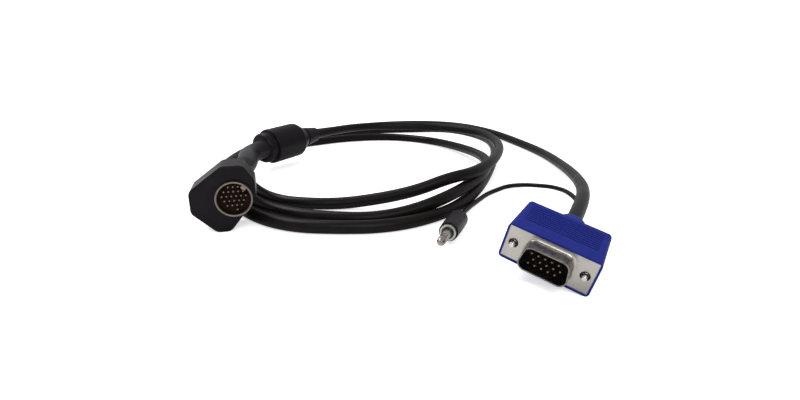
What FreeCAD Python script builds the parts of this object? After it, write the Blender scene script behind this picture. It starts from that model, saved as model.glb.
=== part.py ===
import FreeCAD, Part
import math
import os
import Sketcher
from FreeCAD import Placement, Rotation, Vector

os.makedirs("parts", exist_ok=True)
doc = FreeCAD.newDocument("vga_cable")

# Sizes in millimetres and degrees, one named value each

VALUES = {
    "cable_diameter": 6.0,
    "lead_diameter": 2.4,
    "flange_width": 30.8,
    "flange_height": 12.5,
    "flange_corner": 1.4,
    "flange_sheet": 0.6,
    "rear_sheet": 0.5,
    "rear_skirt": 3.0,
    "screw_pitch": 24.99,
    "screw_hole": 3.4,
    "shroud_inner_width": 16.92,
    "shroud_inner_height": 8.36,
    "shroud_corner": 2.4,
    "shroud_wall": 0.45,
    "shroud_slant": 10.0,
    "shroud_reach": 5.9,
    "shroud_root_radius": 1.0,
    "contact_pitch": 2.29,
    "contact_row": 1.98,
    "contact_diameter": 0.76,
    "contact_recess": 1.3,
    "contact_tail": 7.5,
    "contact_point": 0.2,
    "insulator_front": 0.5,
    "insulator_back": 5.2,
    "insulator_clearance": 0.05,
    "hood_front_width": 32.2,
    "hood_front_height": 13.9,
    "hood_back_width": 31.0,
    "hood_back_height": 15.2,
    "hood_length": 21.5,
    "hood_lip": 0.3,
    "hood_edge": 1.6,
    "hood_back_edge": 0.8,
    "rib_depth": 0.3,
    "rib_width": 0.6,
    "rib_pitch": 1.45,
    "rib_count": 9,
    "rib_start": 6.2,
    "rib_side_margin": 2.6,
    "core_block_width": 19.0,
    "core_block_height": 9.8,
    "core_block_length": 8.6,
    "collar_base_diameter": 15.0,
    "collar_end_diameter": 12.2,
    "collar_length": 6.2,
    "cable_rise": 1.4,
    "cable_shift": 1.2,
    "lead_drop": 3.2,
    "screw_thread": 2.84,
    "screw_tip_reach": 2.3,
    "screw_tip_chamfer": 0.2,
    "screw_shank": 2.3,
    "screw_thread_start": 0.1,
    "screw_thread_end": 1.1,
    "screw_point_diameter": 1.8,
    "screw_point_cone": 0.4,
    "screw_head_diameter": 4.0,
    "screw_head_length": 4.0,
    "screw_head_recess": 0.7,
    "screw_slot_width": 0.8,
    "screw_slot_depth": 1.2,
    "screw_bore_clearance": 0.2,
    "screw_end_play": 0.15,
    "ring_outer_diameter": 15.8,
    "ring_wall": 0.9,
    "ring_reach": 2.4,
    "ring_seat_wall": 0.3,
    "ring_seat_step": 0.2,
    "ring_embed": 6.0,
    "ring_lip": 0.3,
    "key_width": 2.2,
    "key_depth": 1.3,
    "key_angle": 48.0,
    "key_clearance": 0.1,
    "pin_diameter": 0.9,
    "pin_recess": 1.0,
    "pin_point": 0.25,
    "pin_row_pitch": 2.05,
    "pin_column_pitch": 2.0,
    "disc_recess": 4.6,
    "plug_left": 18.4,
    "plug_right": 9.2,
    "plug_top": 14.3,
    "plug_top_left": 4.2,
    "plug_top_right": 4.6,
    "plug_shoulder": 7.2,
    "plug_waist": 0.8,
    "plug_foot_left": 8.5,
    "plug_foot_right": -2.6,
    "plug_left_high": 3.9,
    "plug_left_low": 5.8,
    "plug_depth": 15.5,
    "plug_corner": 4.0,
    "plug_edge": 1.2,
    "plug_axis_height": 15.3,
    "neck_rise": 3.7,
    "neck_base_diameter": 12.5,
    "neck_end_diameter": 10.6,
    "neck_length": 21.0,
    "plug_core_diameter": 12.0,
    "plug_core_length": 2.0,
    "ferrite_diameter": 22.4,
    "ferrite_length": 50.4,
    "ferrite_barrel": 30.0,
    "ferrite_collar_step": 1.6,
    "ferrite_collar_length": 6.5,
    "ferrite_step_radius": 1.0,
    "ferrite_wall": 2.4,
    "ferrite_end_wall": 3.0,
    "ferrite_shift": 6.0,
    "ferrite_end_radius": 2.6,
    "ferrite_cone_diameter": 13.0,
    "ferrite_cone_length": 8.0,
    "ferrite_nose_diameter": 9.6,
    "ferrite_core_bore": 7.4,
    "ferrite_groove_depth": 0.7,
    "ferrite_groove_width": 1.2,
    "ferrite_bore_clearance": 0.15,
    "grip_diameter": 8.6,
    "grip_front_step": 0.3,
    "grip_length": 24.0,
    "grip_edge": 0.7,
    "tail_length": 7.0,
    "tail_base_step": 1.2,
    "tail_taper": 1.2,
    "jack_collar_diameter": 6.8,
    "jack_collar_length": 1.6,
    "jack_diameter": 3.5,
    "jack_stem_diameter": 3.0,
    "jack_root_step": 0.15,
    "grip_back_wall": 2.1,
    "jack_length": 14.0,
    "jack_inner_reach": 9.0,
    "jack_band": 0.7,
    "jack_ring_length": 2.3,
    "jack_tip_length": 4.1,
    "jack_neck_diameter": 2.6,
    "jack_rod_diameter": 1.2,
    "jack_tube_wall": 0.45,
    "grip_wall": 2.0,
    "origin_x": -11.1,
    "origin_y": 242.25,
    "vga_x": 49.3,
    "vga_y": 145.9,
    "plug_x": -71.9,
    "plug_y": 198.3,
    "jack_x": 19.2,
    "jack_y": 180.2,
    "ferrite_left_x": -92.5,
    "ferrite_left_y": 298.0,
    "ferrite_left_z": 14.9,
    "ferrite_right_x": -65.0,
    "ferrite_right_y": 340.0,
    "ferrite_right_z": 16.9,
    "plug_bend": 48.7,
    "plug_cable_end": 8.0,
    "ferrite_lead_in": 15.0,
}

sheet = doc.addObject("Spreadsheet::Sheet", "sizes")
for row, name in enumerate(VALUES, start=1):
    sheet.set("A%d" % row, name)
    sheet.set("B%d" % row, repr(VALUES[name]))
    sheet.setAlias("B%d" % row, name)
doc.recompute()


def size(name):
    return float(getattr(sheet, name))


def worded(text):
    for name in sorted(VALUES, key=len, reverse=True):
        text = text.replace("$" + name, "<<sizes>>." + name)
    return text


def tie(obj, prop, text):
    obj.setExpression(prop, worded(text))


NODES = []


def start_body(name, place):
    body = doc.addObject("PartDesign::Body", name)
    body.Label = name
    body.Placement = place
    NODES.append(body)
    return body


def plane(body, role):
    for feature in body.Origin.OriginFeatures:
        if feature.Role == role:
            return feature
    raise ValueError(role)


def new_sketch(body, role, lift=None):
    sketch = body.newObject("Sketcher::SketchObject", body.Name + "_sketch")
    sketch.AttachmentSupport = [(plane(body, role), "")]
    sketch.MapMode = "FlatFace"
    if lift is not None:
        tie(sketch, "AttachmentOffset.Base.z", lift)
    return sketch


def pin_point(sketch, index, which, across, up):
    # A corner sits at a signed distance from the sketch's origin, or on an axis where that is nought
    for kind, text, axis in (("DistanceX", across, -2), ("DistanceY", up, -1)):
        if text == "0":
            sketch.addConstraint(Sketcher.Constraint("PointOnObject", index, which, axis))
        else:
            here = sketch.Geometry[index]
            spot = here.StartPoint if which == 1 else here.Center
            now = spot.x if kind == "DistanceX" else spot.y
            mark = sketch.addConstraint(Sketcher.Constraint(kind, -1, 1, index, which, now))
            sketch.setExpression("Constraints[%d]" % mark, worded(text))


def add_polygon(sketch, corners, spin=0.3):
    first = sketch.GeometryCount
    count = len(corners)
    spots = []
    for i in range(count):
        angle = spin + 2 * math.pi * i / count
        spots.append(Vector(7 + 5 * math.cos(angle), 7 + 5 * math.sin(angle), 0))
    for i in range(count):
        sketch.addGeometry(Part.LineSegment(spots[i], spots[(i + 1) % count]), False)
    for i in range(count):
        sketch.addConstraint(Sketcher.Constraint("Coincident", first + i, 2, first + (i + 1) % count, 1))
    for i, (across, up) in enumerate(corners):
        pin_point(sketch, first + i, 1, across, up)


def add_circle(sketch, across, up, radius):
    index = sketch.addGeometry(Part.Circle(Vector(3, 3, 0), Vector(0, 0, 1), 1.0), False)
    pin_point(sketch, index, 3, across, up)
    mark = sketch.addConstraint(Sketcher.Constraint("Radius", index, 1.0))
    sketch.setExpression("Constraints[%d]" % mark, worded(radius))


def pad(body, sketch, length, down=False):
    made = body.newObject("PartDesign::Pad", body.Name + "_pad")
    made.Profile = sketch
    made.Reversed = down
    tie(made, "Length", length)
    return made


def pocket(body, sketch, length, up=False, middle=False):
    made = body.newObject("PartDesign::Pocket", body.Name + "_pocket")
    made.Profile = sketch
    made.Reversed = up
    if middle:
        made.Midplane = True
    tie(made, "Length", length)
    return made


def turn(body, corners):
    sketch = new_sketch(body, "XZ_Plane")
    add_polygon(sketch, corners)
    made = body.newObject("PartDesign::Revolution", body.Name + "_turn")
    made.Profile = sketch
    made.ReferenceAxis = (sketch, ["V_Axis"])
    made.Angle = 360.0
    return made


def loft(body, first, second):
    made = body.newObject("PartDesign::AdditiveLoft", body.Name + "_loft")
    made.Profile = first
    made.Sections = [second]
    made.Ruled = True
    return made


def edges_where(shape, test):
    return ["Edge%d" % (i + 1) for i, edge in enumerate(shape.Edges) if test(edge)]


def fillet(body, base, test, radius):
    doc.recompute()
    names = edges_where(base.Shape, test)
    made = body.newObject("PartDesign::Fillet", body.Name + "_fillet")
    made.Base = (base, names)
    tie(made, "Radius", radius)
    return made


def upright(edge):
    if len(edge.Vertexes) != 2:
        return False
    a = edge.Vertexes[0].Point
    b = edge.Vertexes[1].Point
    return abs(a.x - b.x) < 1.5 and abs(a.y - b.y) < 1.5 and abs(a.z - b.z) > 0.3


def level_at(height):
    def test(edge):
        return all(abs(v.Point.z - height) < 1e-4 for v in edge.Vertexes)
    return test


def rectangle(width, height):
    w = "(%s) / 2" % width
    h = "(%s) / 2" % height
    return [("-" + w, "-" + h), (w, "-" + h), (w, h), ("-" + w, h)]


def d_outline(grow):
    # Trapezoid with its wide side down, grown outwards on every side
    half = "$shroud_inner_width / 2 + (%s) / cos($shroud_slant)" % grow
    low = "-($shroud_inner_height / 2 + %s)" % grow
    high = "$shroud_inner_height / 2 + %s" % grow
    wide = "%s + (%s) * tan($shroud_slant)" % (half, grow)
    slim = "%s - ($shroud_inner_height + %s) * tan($shroud_slant)" % (half, grow)
    return [("-(%s)" % wide, low), (wide, low), (slim, high), ("-(%s)" % slim, high)]


# Where each connector lies, on the table plane z = 0

ORIGIN = Vector(size("origin_x"), size("origin_y"), 0)


def frame_from(spot, out, level, roll):
    out = Vector(out)
    out.normalize()
    level = Vector(level)
    level.normalize()
    up = out.cross(level)
    c = math.cos(math.radians(roll))
    s = math.sin(math.radians(roll))
    across = level * c - up * s
    rise = level * s + up * c
    return Placement(spot - ORIGIN, Rotation(across, rise, out, "ZXY"))


def heading(yaw, pitch):
    y = math.radians(yaw)
    p = math.radians(pitch)
    return Vector(-math.sin(y) * math.cos(p), -math.cos(y) * math.cos(p), math.sin(p))


VGA_YAW = 30.0
VGA_PITCH = -4.3
VGA_ROLL = 15.9
VGA_SPOT = Vector(size("vga_x"), size("vga_y"), 0)
vga_level = Vector(math.cos(math.radians(VGA_YAW)), -math.sin(math.radians(VGA_YAW)), 0)
vga_place = frame_from(VGA_SPOT, heading(VGA_YAW, VGA_PITCH), vga_level, VGA_ROLL)

PLUG_YAW = -15.3
plug_level = Vector(math.cos(math.radians(PLUG_YAW)), -math.sin(math.radians(PLUG_YAW)), 0)
plug_spot = Vector(size("plug_x"), size("plug_y"), size("plug_axis_height"))
plug_place = frame_from(plug_spot, heading(PLUG_YAW, 0.0), plug_level, 0.0)

JACK_YAW = 17.4
jack_level = Vector(math.cos(math.radians(JACK_YAW)), -math.sin(math.radians(JACK_YAW)), 0)
JACK_PITCH = 5.0
jack_spot = Vector(size("jack_x"), size("jack_y"), size("grip_diameter") / 2)
jack_place = frame_from(jack_spot, heading(JACK_YAW, JACK_PITCH), jack_level, 0.0)

FERRITE_LEFT = Vector(size("ferrite_left_x"), size("ferrite_left_y"), size("ferrite_left_z"))
FERRITE_RIGHT = Vector(size("ferrite_right_x"), size("ferrite_right_y"), size("ferrite_right_z"))
ferrite_axis = (FERRITE_RIGHT - FERRITE_LEFT).normalize()
ferrite_level = Vector(ferrite_axis.y, -ferrite_axis.x, 0)
ferrite_spot = FERRITE_LEFT + ferrite_axis * size("ferrite_shift")
ferrite_place = frame_from(ferrite_spot, ferrite_axis, ferrite_level, 0.0)

# Blue moulded hood of the VGA plug

hood = start_body("vga_hood", vga_place)
front = new_sketch(hood, "XY_Plane", "$hood_lip")
add_polygon(front, rectangle("$hood_front_width", "$hood_front_height"))
back = new_sketch(hood, "XY_Plane", "-$hood_length")
add_polygon(back, rectangle("$hood_back_width", "$hood_back_height"))
shell = loft(hood, front, back)
shell = fillet(hood, shell, upright, "$hood_edge")
shell = fillet(hood, shell, level_at(-size("hood_length")), "$hood_back_edge")
collar = new_sketch(hood, "XY_Plane", "-$hood_length + 1")
add_circle(collar, "$cable_shift", "0", "$collar_base_diameter / 2")
collar_end = new_sketch(hood, "XY_Plane", "-$hood_length - $collar_length")
add_circle(collar_end, "$cable_shift", "0", "$collar_end_diameter / 2")
loft(hood, collar, collar_end)
seat = new_sketch(hood, "XY_Plane", "$hood_lip")
add_polygon(seat, rectangle("$flange_width", "$flange_height"))
pocket(hood, seat, "$hood_lip + $flange_sheet + $rear_sheet")
room = new_sketch(hood, "XY_Plane", "$hood_lip")
add_polygon(room, rectangle("$core_block_width", "$core_block_height"))
pocket(hood, room, "$hood_lip + $insulator_back + $core_block_length")
way = new_sketch(hood, "XY_Plane", "$hood_lip")
add_circle(way, "$cable_shift", "$cable_rise", "$cable_diameter / 2")
add_circle(way, "0", "-$lead_drop", "$lead_diameter / 2")
pocket(hood, way, "$hood_lip + $hood_length + $collar_length + 1")
shafts = new_sketch(hood, "XY_Plane", "$hood_lip")
for side in ("-", ""):
    add_circle(shafts, side + "$screw_pitch / 2", "0", "$screw_thread / 2 + $screw_bore_clearance")
pocket(hood, shafts, "$hood_lip + $hood_length + 1")
heads = new_sketch(hood, "XY_Plane", "-$hood_length")
for side in ("-", ""):
    add_circle(heads, side + "$screw_pitch / 2", "0", "$screw_head_diameter / 2 + $screw_bore_clearance")
pocket(hood, heads, "$screw_head_recess + $screw_head_length", up=True)
ribs = new_sketch(hood, "YZ_Plane")
for number in range(int(size("rib_count"))):
    near = "($rib_start + %d * $rib_pitch)" % number
    far = "(%s + $rib_width)" % near
    slope = "($hood_back_height - $hood_front_height) / (2 * ($hood_length + $hood_lip))"
    for sign in ("", "-"):
        low_near = "%s($hood_front_height / 2 + %s * %s - $rib_depth)" % (sign, slope, near)
        low_far = "%s($hood_front_height / 2 + %s * %s - $rib_depth)" % (sign, slope, far)
        high = "%s($hood_back_height / 2 + 1)" % sign
        add_polygon(ribs, [
            (low_near, "-" + near),
            (low_far, "-" + far),
            (high, "-" + far),
            (high, "-" + near),
        ])
pocket(hood, ribs, "$hood_back_width - 2 * $rib_side_margin", middle=True)

# The hood is lifted until its lowest edge rests on the table

doc.recompute()
lowest = hood.Shape.optimalBoundingBox(False).ZMin
vga_place.Base = vga_place.Base - Vector(0, 0, lowest)
hood.Placement = vga_place

# Metal front shell, a flange with the D-shaped shroud drawn out of it


def d_prism(body, grow, bottom, length, corner):
    sketch = new_sketch(body, "XY_Plane", bottom)
    add_polygon(sketch, d_outline(grow))
    made = pad(body, sketch, length)
    return fillet(body, made, upright, corner)


def d_hole(body, grow, top, length, corner):
    # The cut is rounded at its corners by arcs, so it is made as a filleted solid and taken away
    tool = doc.addObject("PartDesign::Body", body.Name + "_tool")
    d_prism(tool, grow, "%s - (%s)" % (top, length), length, corner)
    cut = body.newObject("PartDesign::Boolean", body.Name + "_cut")
    cut.Type = "Cut"
    cut.setObjects([tool])
    return cut


front_shell = start_body("vga_front_shell", vga_place)
reach_in_all = "$flange_sheet + $shroud_reach"
outer_corner = "$shroud_corner + $shroud_wall"
drawn = d_prism(front_shell, "$shroud_wall", "-$flange_sheet", reach_in_all, outer_corner)
outline = new_sketch(front_shell, "XY_Plane")
add_polygon(outline, rectangle("$flange_width", "$flange_height"))
drawn = pad(front_shell, outline, "$flange_sheet", down=True)


def shroud_root(edge):
    if not level_at(0.0)(edge):
        return False
    box = edge.BoundBox
    return max(abs(box.YMin), abs(box.YMax)) < size("shroud_inner_height") / 2 + 2 * size("shroud_wall")


fillet(front_shell, drawn, shroud_root, "$shroud_root_radius")
d_hole(front_shell, "0", "$shroud_reach", "$shroud_reach + $flange_sheet", "$shroud_corner")
holes = new_sketch(front_shell, "XY_Plane")
for side in ("-", ""):
    add_circle(holes, side + "$screw_pitch / 2", "0", "$screw_hole / 2")
pocket(front_shell, holes, "$flange_sheet")

# Metal rear shell behind it, with a short skirt round the insulator

rear_shell = start_body("vga_rear_shell", vga_place)
skirt_foot = "-$flange_sheet - $rear_sheet - $rear_skirt"
skirt = d_prism(rear_shell, "$shroud_wall", skirt_foot, "$rear_sheet + $rear_skirt", outer_corner)
outline = new_sketch(rear_shell, "XY_Plane", "-$flange_sheet")
add_polygon(outline, rectangle("$flange_width", "$flange_height"))
pad(rear_shell, outline, "$rear_sheet", down=True)
d_hole(rear_shell, "0", "-$flange_sheet", "$rear_sheet + $rear_skirt", "$shroud_corner")
holes = new_sketch(rear_shell, "XY_Plane", "-$flange_sheet")
for side in ("-", ""):
    add_circle(holes, side + "$screw_pitch / 2", "0", "$screw_hole / 2")
pocket(rear_shell, holes, "$rear_sheet")

# Contact places, the two outer rows half a pitch aside from the middle one

CONTACTS = []
for level, shift in (("$contact_row", "-"), ("0", "+"), ("-$contact_row", "-")):
    for column in range(5):
        across = "(%d * $contact_pitch %s $contact_pitch / 4)" % (column - 2, shift)
        CONTACTS.append((across, level))


def contact_holes(body, top, length, up=False):
    sketch = new_sketch(body, "XY_Plane", top)
    for across, level in CONTACTS:
        add_circle(sketch, across, level, "$contact_diameter / 2")
    return pocket(body, sketch, length, up=up)


insulator = start_body("vga_insulator", vga_place)
block_corner = "$shroud_corner - $insulator_clearance"
block_depth = "$insulator_back + $insulator_front"
d_prism(insulator, "-$insulator_clearance", "-$insulator_back", block_depth, block_corner)
contact_holes(insulator, "$insulator_front", "$insulator_front + $insulator_back")

core_block = start_body("vga_core_block", vga_place)
outline = new_sketch(core_block, "XY_Plane", "-$insulator_back")
add_polygon(outline, rectangle("$core_block_width", "$core_block_height"))
pad(core_block, outline, "$core_block_length", down=True)
contact_holes(core_block, "-$insulator_back", "$contact_tail - $insulator_back")

for number, (across, level) in enumerate(CONTACTS, start=1):
    contact = start_body("vga_pin_%d" % number, vga_place)
    sketch = new_sketch(contact, "XY_Plane", "-$contact_tail")
    add_circle(sketch, across, level, "$contact_diameter / 2")
    made = pad(contact, sketch, "$contact_tail + $shroud_reach - $contact_recess")
    tip = size("shroud_reach") - size("contact_recess")
    fillet(contact, made, level_at(tip), "$contact_point")

# Captive jackscrews, which turn in their bores


head_back = "-$hood_length + $screw_head_recess"
head_front = head_back + " + $screw_head_length - $screw_end_play"


def make_screw(name, side):
    spin = Placement(Vector(side * size("screw_pitch") / 2, 0, 0), Rotation())
    screw = start_body(name, vga_place.multiply(spin))
    made = turn(screw, [
        ("0", "$screw_tip_reach"),
        ("0", head_back),
        ("$screw_head_diameter / 2", head_back),
        ("$screw_head_diameter / 2", head_front),
        ("$screw_shank / 2", head_front),
        ("$screw_shank / 2", "$screw_thread_start"),
        ("$screw_thread / 2", "$screw_thread_start"),
        ("$screw_thread / 2", "$screw_thread_end"),
        ("$screw_point_diameter / 2", "$screw_thread_end + $screw_point_cone"),
        ("$screw_point_diameter / 2", "$screw_tip_reach - $screw_tip_chamfer"),
        ("$screw_point_diameter / 2 - $screw_tip_chamfer", "$screw_tip_reach"),
    ])
    slot = new_sketch(screw, "XY_Plane", head_back)
    add_polygon(slot, rectangle("$screw_head_diameter + 1", "$screw_slot_width"))
    pocket(screw, slot, "$screw_slot_depth", up=True)
    return screw


screw_left = make_screw("vga_screw_left", -1)
screw_right = make_screw("vga_screw_right", 1)

# Black moulded body of the round plug, with its neck

plug_body = start_body("plug_body", plug_place)
outline = new_sketch(plug_body, "XY_Plane")
add_polygon(outline, [
    ("-$plug_left", "-$plug_left_low"),
    ("-$plug_foot_left", "-$plug_axis_height"),
    ("$plug_foot_right", "-$plug_axis_height"),
    ("$plug_right", "-$plug_waist"),
    ("$plug_right", "$plug_shoulder"),
    ("$plug_top_right", "$plug_top"),
    ("-$plug_top_left", "$plug_top"),
    ("-$plug_left", "$plug_left_high"),
])
made = pad(plug_body, outline, "$plug_depth", down=True)
made = fillet(plug_body, made, upright, "$plug_corner")
made = fillet(plug_body, made, level_at(0.0), "$plug_edge / 2")
made = fillet(plug_body, made, level_at(-size("plug_depth")), "$plug_edge")
neck = new_sketch(plug_body, "XY_Plane", "-$plug_depth + 1")
add_circle(neck, "0", "$neck_rise", "$neck_base_diameter / 2")
neck_end = new_sketch(plug_body, "XY_Plane", "-$plug_depth - $neck_length")
add_circle(neck_end, "0", "$neck_rise", "$neck_end_diameter / 2")
loft(plug_body, neck, neck_end)
seat = new_sketch(plug_body, "XY_Plane")
add_circle(seat, "0", "0", "$ring_outer_diameter / 2 - $ring_seat_wall")
pocket(plug_body, seat, "$ring_embed")
seat = new_sketch(plug_body, "XY_Plane", "-$ring_embed")
add_circle(seat, "0", "0", "$plug_core_diameter / 2")
pocket(plug_body, seat, "$plug_core_length")
way = new_sketch(plug_body, "XY_Plane", "-$ring_embed")
add_circle(way, "0", "$neck_rise", "$cable_diameter / 2")
pocket(plug_body, way, "$plug_depth + $neck_length")

plug_core = start_body("plug_core", plug_place)
outline = new_sketch(plug_core, "XY_Plane", "-$ring_embed")
add_circle(outline, "0", "0", "$plug_core_diameter / 2")
pad(plug_core, outline, "$plug_core_length", down=True)

# Metal ring of the round plug, with a key pressed inwards

plug_ring = start_body("plug_ring", plug_place)
turn(plug_ring, [
    ("$ring_outer_diameter / 2 - $ring_wall", "-$ring_embed"),
    ("$ring_outer_diameter / 2 - $ring_seat_wall", "-$ring_embed"),
    ("$ring_outer_diameter / 2 - $ring_seat_wall", "$ring_seat_step"),
    ("$ring_outer_diameter / 2", "$ring_seat_step"),
    ("$ring_outer_diameter / 2", "$ring_reach - $ring_lip"),
    ("$ring_outer_diameter / 2 - $ring_lip", "$ring_reach"),
    ("$ring_outer_diameter / 2 - $ring_wall + $ring_lip", "$ring_reach"),
    ("$ring_outer_diameter / 2 - $ring_wall", "$ring_reach - $ring_lip"),
])


def key_corners(slack):
    # A block across the inside of the ring, turned to the key's angle
    inner = "($ring_outer_diameter / 2 - $ring_wall - $key_depth - %s)" % slack
    outer = "($ring_outer_diameter / 2 - $ring_wall / 2)"
    half = "($key_width / 2 + %s)" % slack
    spots = []
    for along, side in ((inner, "-"), (outer, "-"), (outer, "+"), (inner, "+")):
        opposite = "+" if side == "-" else "-"
        across = "%s * cos($key_angle) %s %s * sin($key_angle)" % (along, opposite, half)
        rise = "%s * sin($key_angle) %s %s * cos($key_angle)" % (along, side, half)
        spots.append((across, rise))
    return spots


key = new_sketch(plug_ring, "XY_Plane", "-$ring_embed")
add_polygon(key, key_corners("0"))
pad(plug_ring, key, "$ring_embed + $ring_reach - $ring_lip")

# Insulating disc and its contacts, one node a row

ROWS = [
    (2.6, [-1, 0, 1]),
    (1.6, [-2, -1, 0, 1, 2]),
    (0.6, [-2.5, -1.5, -0.5, 0.5, 1.5, 2.5]),
    (-0.4, [-2, -1, 0, 1, 2]),
    (-1.4, [-1.5, -0.5, 0.5, 1.5]),
    (-2.4, [0.5]),
]
disc = start_body("plug_disc", plug_place)
outline = new_sketch(disc, "XY_Plane", "-$ring_embed")
add_circle(outline, "0", "0", "$ring_outer_diameter / 2 - $ring_wall")
pad(disc, outline, "$ring_embed + $ring_reach - $disc_recess")
gap = new_sketch(disc, "XY_Plane", "-$ring_embed")
add_polygon(gap, key_corners("$key_clearance"))
pocket(disc, gap, "$ring_embed + $ring_reach", up=True)
holes = new_sketch(disc, "XY_Plane", "$ring_reach - $disc_recess")
for height, columns in ROWS:
    for column in columns:
        across = "%r * $pin_column_pitch" % column if column else "0"
        add_circle(holes, across, "%r * $pin_row_pitch" % height, "$pin_diameter / 2")
pocket(disc, holes, "$ring_embed + $ring_reach")

for number, (height, columns) in enumerate(ROWS, start=1):
    row = start_body("plug_pins_row_%d" % number, plug_place)
    row.AllowCompound = True
    sketch = new_sketch(row, "XY_Plane", "-$ring_embed")
    for column in columns:
        across = "%r * $pin_column_pitch" % column if column else "0"
        add_circle(sketch, across, "%r * $pin_row_pitch" % height, "$pin_diameter / 2")
    made = pad(row, sketch, "$ring_embed + $ring_reach - $pin_recess")
    fillet(row, made, level_at(size("ring_reach") - size("pin_recess")), "$pin_point")

# Ferrite under its moulded cover, on the run between the neck and the loop

cover = start_body("ferrite_cover", ferrite_place)
groove_start = "$ferrite_barrel + $ferrite_cone_length"
groove_end = groove_start + " + $ferrite_groove_width"
groove_radius = "$ferrite_cone_diameter / 2 - $ferrite_groove_depth"
made = turn(cover, [
    ("$cable_diameter / 2 + $ferrite_bore_clearance", "0"),
    ("$ferrite_diameter / 2 - $ferrite_collar_step", "0"),
    ("$ferrite_diameter / 2 - $ferrite_collar_step", "$ferrite_collar_length"),
    ("$ferrite_diameter / 2", "$ferrite_collar_length"),
    ("$ferrite_diameter / 2", "$ferrite_barrel"),
    ("$ferrite_cone_diameter / 2", groove_start),
    (groove_radius, groove_start),
    (groove_radius, groove_end),
    ("$ferrite_cone_diameter / 2", groove_end),
    ("$ferrite_nose_diameter / 2", "$ferrite_length"),
    ("$cable_diameter / 2 + $ferrite_bore_clearance", "$ferrite_length"),
])


def on_ring(radius, height):
    def test(edge):
        if len(edge.Vertexes) != 1 or not hasattr(edge.Curve, "Radius"):
            return False
        spot = edge.Vertexes[0].Point
        return abs(spot.z - height) < 1e-4 and abs(edge.Curve.Radius - radius) < 1e-4
    return test


made = fillet(cover, made, on_ring(size("ferrite_diameter") / 2 - size("ferrite_collar_step"), 0.0), "$ferrite_end_radius")
made = fillet(cover, made, on_ring(size("ferrite_diameter") / 2, size("ferrite_collar_length")), "$ferrite_step_radius")
made = fillet(cover, made, on_ring(size("ferrite_diameter") / 2, size("ferrite_barrel")), "$ferrite_end_radius")
chamber = new_sketch(cover, "XZ_Plane")
low = "($ferrite_collar_length + $ferrite_end_wall)"
high = "($ferrite_barrel - $ferrite_end_wall)"
add_polygon(chamber, [
    ("$cable_diameter / 2", low),
    ("$ferrite_diameter / 2 - $ferrite_wall", low),
    ("$ferrite_diameter / 2 - $ferrite_wall", high),
    ("$cable_diameter / 2", high),
])
cut = cover.newObject("PartDesign::Groove", "ferrite_chamber")
cut.Profile = chamber
cut.ReferenceAxis = (chamber, ["V_Axis"])
cut.Angle = 360.0

ferrite = start_body("ferrite_core", ferrite_place)
turn(ferrite, [
    ("$ferrite_core_bore / 2", low),
    ("$ferrite_diameter / 2 - $ferrite_wall", low),
    ("$ferrite_diameter / 2 - $ferrite_wall", high),
    ("$ferrite_core_bore / 2", high),
])

# Audio jack, all pieces turned on one axis, its shoulder at height nought

grip = start_body("jack_grip", jack_place)
made = turn(grip, [
    ("0", "-$grip_length - $tail_length"),
    ("$grip_diameter / 2 - $tail_base_step - $tail_taper", "-$grip_length - $tail_length"),
    ("$grip_diameter / 2 - $tail_base_step", "-$grip_length"),
    ("$grip_diameter / 2", "-$grip_length"),
    ("$grip_diameter / 2", "-$grip_length / 2"),
    ("$grip_diameter / 2 - $grip_front_step", "-$jack_collar_length"),
    ("0", "-$jack_collar_length"),
])
made = fillet(grip, made, on_ring(size("grip_diameter") / 2, -size("grip_length")), "$grip_edge")
bore = new_sketch(grip, "XY_Plane", "-$jack_collar_length")
add_circle(bore, "0", "0", "$grip_diameter / 2 - $grip_wall")
pocket(grip, bore, "$grip_length - $grip_back_wall - $jack_collar_length")
bore = new_sketch(grip, "XY_Plane", "-$jack_collar_length")
add_circle(bore, "0", "0", "$lead_diameter / 2")
pocket(grip, bore, "$grip_length + $tail_length")

doc.recompute()
lowest = grip.Shape.optimalBoundingBox(False).ZMin
jack_place.Base = jack_place.Base - Vector(0, 0, lowest)
grip.Placement = jack_place

jack_core = start_body("jack_core", jack_place)
turn(jack_core, [
    ("$jack_rod_diameter / 2 + $jack_tube_wall", "-$jack_inner_reach"),
    ("0", "-$jack_inner_reach"),
    ("0", "-$grip_length + $grip_back_wall"),
    ("$grip_diameter / 2 - $grip_wall", "-$grip_length + $grip_back_wall"),
    ("$grip_diameter / 2 - $grip_wall", "-$jack_collar_length"),
    ("$jack_stem_diameter / 2", "-$jack_collar_length"),
    ("$jack_stem_diameter / 2", "-$jack_inner_reach + 1"),
    ("$jack_rod_diameter / 2 + $jack_tube_wall", "-$jack_inner_reach + 1"),
])

first_band = "($jack_length - $jack_tip_length - $jack_band)"
ring_start = "(%s - $jack_ring_length)" % first_band
sleeve_end = "(%s - $jack_band)" % ring_start

sleeve = start_body("jack_sleeve", jack_place)
turn(sleeve, [
    ("$jack_stem_diameter / 2 - $jack_tube_wall / 2", "-$jack_inner_reach + 1"),
    ("$jack_stem_diameter / 2", "-$jack_inner_reach + 1"),
    ("$jack_stem_diameter / 2", "-$jack_collar_length"),
    ("$jack_collar_diameter / 2", "-$jack_collar_length"),
    ("$jack_collar_diameter / 2", "0"),
    ("$jack_stem_diameter / 2", "0"),
    ("$jack_stem_diameter / 2", "$jack_root_step"),
    ("$jack_diameter / 2", "$jack_root_step"),
    ("$jack_diameter / 2", sleeve_end),
    ("$jack_stem_diameter / 2 - $jack_tube_wall / 2", sleeve_end),
])

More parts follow.
